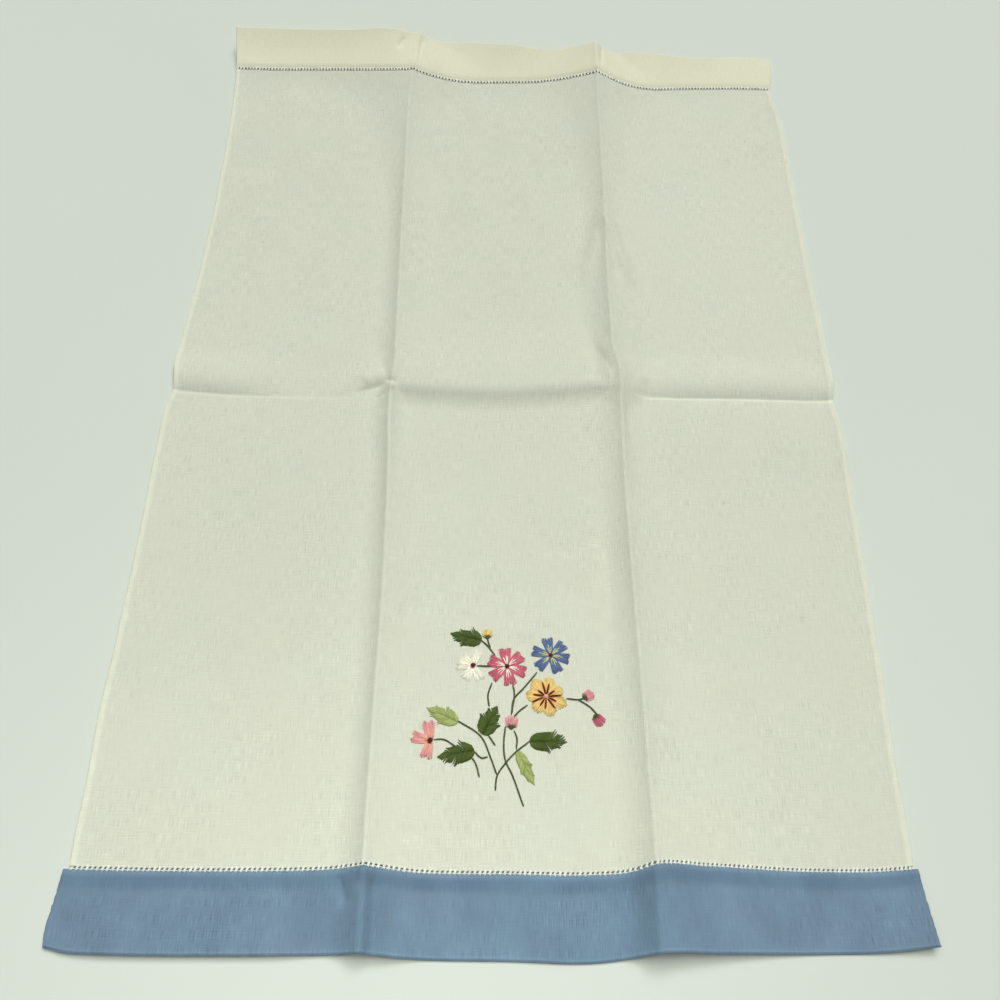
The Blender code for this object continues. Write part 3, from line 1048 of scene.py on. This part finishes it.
for up, lean, band, thin, low in SEAMS:
    places = (np.arange(HOLES) + 0.5) / HOLES * 3
    for across_here in places:
        y = float(y_at(np.array([across_here]), np.array([up]))[0])
        x = float(x_at(np.array([across_here]), np.array([y]))[0]) + rng.uniform(-0.12, 0.12)
        t = np.linspace(-1, 1, 5)
        width = (BUNDLE_WAIST + (BUNDLE_WIDE - BUNDLE_WAIST) * t**2) * thin
        reach = band / 2 + 0.35
        bundle_thread.lay(x + t * lean, y + t * reach, 0.4, width, float(up == 1.0))
        edge = y - band / 2
        s = np.linspace(0, 1, 5)
        if up == 1.0:
            wrap = 0.5 + 0.25 * np.sin(math.pi * s)
            hemstitch.lay(x - 1.1 + 2.4 * s, edge - 0.1 + 0.2 * s, wrap, 0.36)
            tooth = edge + 0.1 - rng.uniform(0.5, 1.0) * s
            hemstitch.lay(x + 0.35 - 0.4 * s, tooth, wrap + 0.2, 0.34 - 0.12 * s)
        else:
            wrap = 0.45 + 0.15 * np.sin(math.pi * s)
            hemstitch.lay(x - 0.9 + 1.8 * s, edge - 0.1 + 0.1 * s, wrap, 0.26)
            hemstitch.lay(x + 0.1 + 0.6 * s, edge - 0.2 - 0.9 * s, wrap, 0.28)
            hemstitch.lay(x + 0.1 + 0.5 * s, edge + band + 0.1 + 0.9 * s, wrap + 0.12, 0.28)
    shade_across = np.linspace(0.02, 2.98, 300)
    shade_y = y_at(shade_across, np.full_like(shade_across, up))
    shade_x = x_at(shade_across, shade_y)
    shade_reach = band / 2 + low - 0.05
    shade_rows.append([on_cloth(shade_x, shade_y + side * shade_reach, low) for side in (-1, 1)])

drawn_bundles = bundle_thread.build()
hemstitches = hemstitch.build()

shade_mesh = bpy.data.meshes.new("seam_shade")
shade_verts = np.concatenate([np.concatenate(rows) for rows in shade_rows])
per_row = len(shade_rows[0][0])
shade_faces = []
for start in (0, 2 * per_row):
    for k in range(start, start + per_row - 1):
        shade_faces.append((k, k + 1, k + per_row + 1, k + per_row))
shade_mesh.from_pydata(shade_verts.tolist(), [], shade_faces)
# Painted shade: the strip's two dark colours stand in for the shade seen through the holes, greyer under
# the lower row and darker under the top hem.
SHADES = (("seam_shade", (84, 94, 92), (108, 118, 114)), ("hem_shade", (44, 46, 30), (66, 68, 48)))
for name, dark, light in SHADES:
    shade_material, shade_shader, wire = new_material(name, 0.95)
    shade_mottle = wire.speckle(wire.node("ShaderNodeTexCoord", out=3), 900.0, 3.0)
    connect(shade_shader, shade_mottle.tint(shade(dark), shade(light)))
    shade_mesh.materials.append(shade_material)
shade_mesh.polygons.foreach_set("material_index", np.repeat([0, 1], per_row - 1))
seam_shade = add_object("seam_shade", shade_mesh)
print("seam shade has", len(shade_faces), "faces")

# %% [markdown]
# ## Embroidery stitches
#
# The spray is worked in stranded floss. Petals, leaves and buds are satin stitch: strands laid
# side by side from edge to edge, bulging a little in the middle and going down through the cloth
# at both ends. Stems are stem stitch, short stitches that overlap like the plies of a rope. Each
# stitch is one small function, and each flower is drawn from its centre by angles and lengths.


# %% Satin, spokes, stems and knots
FLOSS = 0.36


def satin(thread, starts, ends, rise=0.3, blend=(0.0, 0.0), width=FLOSS, loose=0.16):
    """Strands side by side, from each start to each end."""
    t = np.linspace(0, 1, 6)
    for start, end in zip(starts, ends):
        x = start[0] + t * (end[0] - start[0] + rng.uniform(-loose, loose))
        y = start[1] + t * (end[1] - start[1] + rng.uniform(-loose, loose))
        layer = SINGLE + 0.06 + rise * np.sin(math.pi * t) ** 0.5
        tapered = width * np.sin(math.pi * (0.14 + 0.72 * t)) ** 0.4
        thread.lay(x, y, layer, tapered, blend[0] + t * (blend[1] - blend[0]))


def spokes(thread, x, y, angle, starts, ends, fan, width=0.3, rise=0.55):
    """Long straight stitches over a petal, fanned about its angle."""
    for start, end, off in zip(starts, ends, fan):
        turn = math.radians(angle + off)
        line = np.array([math.cos(turn), math.sin(turn)])
        satin(thread, [(x, y) + start * line], [(x, y) + end * line], rise=rise, width=width, loose=0.3)


def petal(
    thread, x, y, angle, long, wide, notch, strands, foot, heart=0.8, blend=(0.0, 0.0), ragged=0.0
):
    """A petal of satin strands, from the flower's heart outwards. A notch of 0 gives a round tip."""
    turn = math.radians(angle)
    ahead = np.array([math.cos(turn), math.sin(turn)])
    beside = np.array([-ahead[1], ahead[0]])
    s = np.linspace(-1, 1, strands)[:, None]
    dip = notch * ((np.abs(s) - 0.55) ** 2 / 0.3) if notch else 0.22 * s**2
    dip = dip + ragged * np.array([rng.random() for _ in s])[:, None]
    starts = np.array([x, y]) + heart * ahead + s * beside * wide / 2 * foot
    ends = np.array([x, y]) + long * (1 - dip) * ahead + s * beside * wide / 2
    satin(thread, starts, ends, blend=blend)


def leaf(thread, base, tip, wide, teeth, strands=30):
    """A leaf in two halves that slant forwards from the rib, each with two teeth along its edge."""
    base = np.array(base, float)
    run = np.array(tip, float) - base
    beside = np.array([-run[1], run[0]]) / np.hypot(*run)
    t = np.linspace(0.02, 1.0, strands)
    for side, tooth in zip((1, -1), teeth):
        last = (tooth + 1.08) / 2
        stations = [0, 0.05, 0.2, tooth - 0.05, tooth, tooth + 0.07, last - 0.03, last, last + 0.06, 1]
        widths = [0.1, 0.5, 0.8, 0.92, 1.12, 0.70, 0.58, 0.70, 0.36, 0.0]
        half = np.interp(t, stations, widths) * wide / 2
        edge = base + t[:, None] * run + half[:, None] * side * beside
        rib = base + clamp(t - 0.2)[:, None] * run - side * 0.15 * beside
        satin(thread, rib, edge, rise=0.34, width=0.55, loose=0.12)


def smooth_path(points, step):
    """Points every "step" millimetres along a smooth line through a few places."""
    points = np.array(points, float)
    padded = np.concatenate([[2 * points[0] - points[1]], points, [2 * points[-1] - points[-2]]])
    path = []
    for a, b, c, d in zip(padded, padded[1:], padded[2:], padded[3:]):
        for t in np.linspace(0, 1, max(2, int(np.hypot(*(c - b)) / step)), endpoint=False):
            bend = 2 * b + (c - a) * t + (2 * a - 5 * b + 4 * c - d) * t**2 + (3 * b - a - 3 * c + d) * t**3
            path.append(bend / 2)
    return np.array([*path, points[-1]])


def stem(thread, points, width=0.72):
    """Stem stitch: overlapping short stitches, each a little to one side of the last."""
    path = smooth_path(points, 0.45)
    for start in range(0, max(1, len(path) - 4), 4):
        part = path[start:start + 9]
        if len(part) < 3:
            continue
        t = np.linspace(-1, 1, len(part))
        ahead = np.gradient(part, axis=0)
        ahead = ahead / np.linalg.norm(ahead, axis=1)[:, None]
        x = part[:, 0] - ahead[:, 1] * 0.12 * t
        y = part[:, 1] + ahead[:, 0] * 0.12 * t
        layer = SINGLE + 0.1 + 0.3 * np.sqrt(clamp(1 - t**2))
        thread.lay(x, y, layer, width * (1 - 0.45 * t**2))


def knot(thread, x, y, size):
    """A French knot: thread wound round and pulled down in the middle."""
    turn = np.linspace(0, 4 * math.pi, 22)
    radius = size / 2 * np.linspace(0.75, 0.15, 22)
    layer = SINGLE + 0.75 + 0.25 * np.linspace(0, 1, 22)
    thread.lay(x + radius * np.cos(turn), y + radius * np.sin(turn), layer, size * 0.42)


# %% [markdown]
# ## The spray of flowers
#
# Two full flowers with notched petals, one ruffled yellow one, a small white one tucked behind
# and one seen from the side, with four buds and six leaves on thin crossing stems. Such a
# spray is an ordinary old needlework motif. The layout follows the towel, and every petal and
# leaf comes from the formulas above, not from a drawn outline.

# %% Floss in each colour
skeins = []


def skein(name, first, second=None, spread=0.34):
    """Floss of one colour, kept in a list so that all of it is built at the end."""
    skeins.append(Thread(name, floss(name, first, second, spread)))
    return skeins[-1]


dark_green = skein("dark_green_floss", (72, 91, 22))
light_green = skein("light_green_floss", (163, 177, 102))
stem_green = skein("stem_floss", (76, 84, 42), spread=0.6)
pink = skein("pink_floss", (207, 102, 120))
pale_pink = skein("pale_pink_floss", (232, 156, 162), (238, 184, 150))
rose = skein("rose_floss", (206, 100, 120))
blue = skein("blue_floss", (88, 112, 152))
yellow = skein("yellow_floss", (230, 188, 110), (238, 214, 128))
peach = skein("peach_floss", (246, 190, 130))
cream = skein("cream_floss", (252, 250, 232), spread=0.24)
straw = skein("straw_floss", (224, 222, 160), spread=0.24)
maroon = skein("maroon_floss", (104, 12, 8), spread=0.5)
print("skeins of floss:", len(skeins))

# %% Stems and leaves
STEMS = (
    ((-9.9, 129.8), (-6.5, 126.5), (-3.4, 122.3)),
    ((-6.6, 131.0), (-6.6, 129.0), (-5.6, 126.0)),
    ((-11.6, 117.4), (-4.7, 117.1)),
    ((-4.6, 109.6), (-6.4, 104.1), (-5.9, 98.7)),
    ((-6.2, 86.2), (-3.1, 81.5)),
    ((4.7, 108.8), (5.2, 103.4), (3.8, 95.2)),
    ((15.5, 114.8), (9.6, 107.6), (5.0, 102.2), (4.2, 96.1)),
    ((11.1, 99.6), (8.0, 97.4), (5.1, 94.4)),
    ((-19.9, 92.4), (-9.6, 85.7), (-5.2, 76.7), (-2.4, 69.0)),
    ((-29.5, 83.8), (-25.0, 83.7), (-20.4, 81.0)),
    ((-12.6, 79.4), (-9.2, 76.2), (-6.2, 76.6)),
    ((-13.5, 76.8), (-11.2, 73.2), (-9.8, 67.9)),
    ((1.4, 89.9), (0.6, 83.3), (1.2, 75.5), (4.6, 68.1), (8.9, 56.0)),
    ((5.1, 88.3), (6.3, 84.5), (5.9, 79.9)),
    ((11.8, 83.6), (5.9, 78.9), (1.2, 73.8), (-2.2, 68.6), (-3.0, 62.4)),
    ((28.2, 103.0), (33.5, 102.5), (38.0, 103.8)),
    ((33.5, 102.5), (38.4, 99.4), (42.0, 95.4)),
)
for points in STEMS:
    stem(stem_green, points)

LEAVES = table(
    "thread base tip wide teeth",
    (dark_green, (-9.6, 129.4), (-23.8, 132.8), 9.6, (0.58, 0.36)),
    (dark_green, (-8.6, 86.4), (-2.2, 99.0), 10.0, (0.54, 0.48)),
    (dark_green, (-12.2, 79.4), (-28.0, 76.2), 10.4, (0.58, 0.36)),
    (dark_green, (11.8, 83.6), (28.0, 83.6), 9.6, (0.70, 0.54)),
    (light_green, (-19.6, 91.6), (-33.2, 97.8), 8.6, (0.5, 0.46)),
    (light_green, (6.6, 79.0), (13.6, 65.0), 5.8, (0.5, 0.6)),
)
for row in LEAVES:
    leaf(*row)
print("stems:", len(STEMS), "leaves:", len(LEAVES))

# %% Open flowers
PINK_AT = (2.0, 117.2)
BLUE_AT = (21.7, 122.8)
YELLOW_AT = (19.3, 103.6)
WHITE_AT = (-13.2, 117.4)
SIDE_AT = (-31.1, 83.2)

for angle in (72, 140, 180, 241, -62):
    petal(cream, *WHITE_AT, angle, 7.8, 4.4, 0.12, strands=12, foot=0.4)
    spokes(straw, *WHITE_AT, angle, (1.2, 1.4), (4.8, 5.6), (-8, 9), width=0.3)
for angle in (97, 40, -17, -80, -143, 160):
    petal(pink, *PINK_AT, angle, 8.9, 5.7, 0.08, strands=20, foot=0.45)
    spokes(cream, *PINK_AT, angle, (1.0, 0.8, 1.1), (5.0, 5.9, 5.0), (-12, 0, 12), width=0.46, rise=0.8)
for angle in (100, 43, -11, -67, -135, 165):
    petal(blue, *BLUE_AT, angle, 8.7, 5.2, 0.09, strands=19, foot=0.42)
    spokes(straw, *BLUE_AT, angle, (1.0, 0.8, 1.1), (4.4, 5.8, 4.6), (-12, 1, 12), width=0.4, rise=0.75)
RUFFLES = ((78, 9.6), (27, 8.8), (-22, 10.2), (-76, 9.6), (-128, 9.0), (176, 9.4), (128, 10.0))
for angle, long in RUFFLES:
    petal(yellow, *YELLOW_AT, angle, long, 5.9, 0.0, 22, 0.5, blend=(0.0, 1.0), ragged=0.08)
    ends = (6.4, 7.8, 6.6)
    spokes(peach, *YELLOW_AT, angle, (1.5, 2.0, 3.5), ends, (-11, 2, 13), width=0.42, rise=0.42)
for k in range(11):
    ends = ((7.0, 5.2, 6.2)[k % 3],)
    off = (rng.uniform(-5, 5),)
    spokes(maroon, *YELLOW_AT, k * 32.7 + 8, (1.2,), ends, off, width=0.85, rise=0.9)
for angle, long in ((98, 9.0), (167, 8.4), (-103, 8.0)):
    petal(pale_pink, *SIDE_AT, angle, long, 5.4, 0.13, strands=16, blend=(0.5, 0.0), foot=0.55)
    spokes(peach, *SIDE_AT, angle, (1.0, 1.0), (5.4, 4.4), (-9, 8), width=0.45, rise=0.6)

knot(maroon, *PINK_AT, 2.0)
knot(maroon, *WHITE_AT, 2.2)
knot(maroon, *SIDE_AT, 2.4)
knot(maroon, *BLUE_AT, 1.9)
knot(pale_pink, *YELLOW_AT, 1.9)
print("strands of yellow floss so far:", len(yellow.runs))

# %% Buds
BUDS = table(
    "thread x y angle long wide blend",
    (yellow, -6.9, 130.9, 92, 4.2, 4.4, 1.0),
    (pale_pink, 3.9, 89.4, 88, 5.6, 5.8, 0.0),
    (pale_pink, 36.2, 103.4, 28, 4.8, 5.0, 0.0),
    (rose, 40.8, 95.2, -52, 5.2, 5.2, 0.0),
)
for bud in BUDS:
    tones = (bud.blend * 0.8, bud.blend)
    at = (bud.x, bud.y)
    petal(bud.thread, *at, bud.angle, bud.long, bud.wide, 0, 13, 0.75, heart=0.0, blend=tones)
    for off, long in ((-48, 2.9), (0, 1.7), (48, 2.9)):
        petal(stem_green, *at, bud.angle + off, long, 1.5, 0, 4, 0.9, heart=-0.6)

embroidery = [thread.build() for thread in skeins]

# %% [markdown]
# ## Hand the pieces over
# Every piece rides on the towel's one body. The two sheets stand for the two solids, which are
# hidden. The border is one piece here for both its layers.

# %% Ride and replace
threads_and_shade_strip = [drawn_bundles, hemstitches, seam_shade, *embroidery]
for piece in (linen_cloth, border_cloth, *threads_and_shade_strip):
    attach(piece, BODY)
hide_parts("linen_panel")
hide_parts("blue_border")
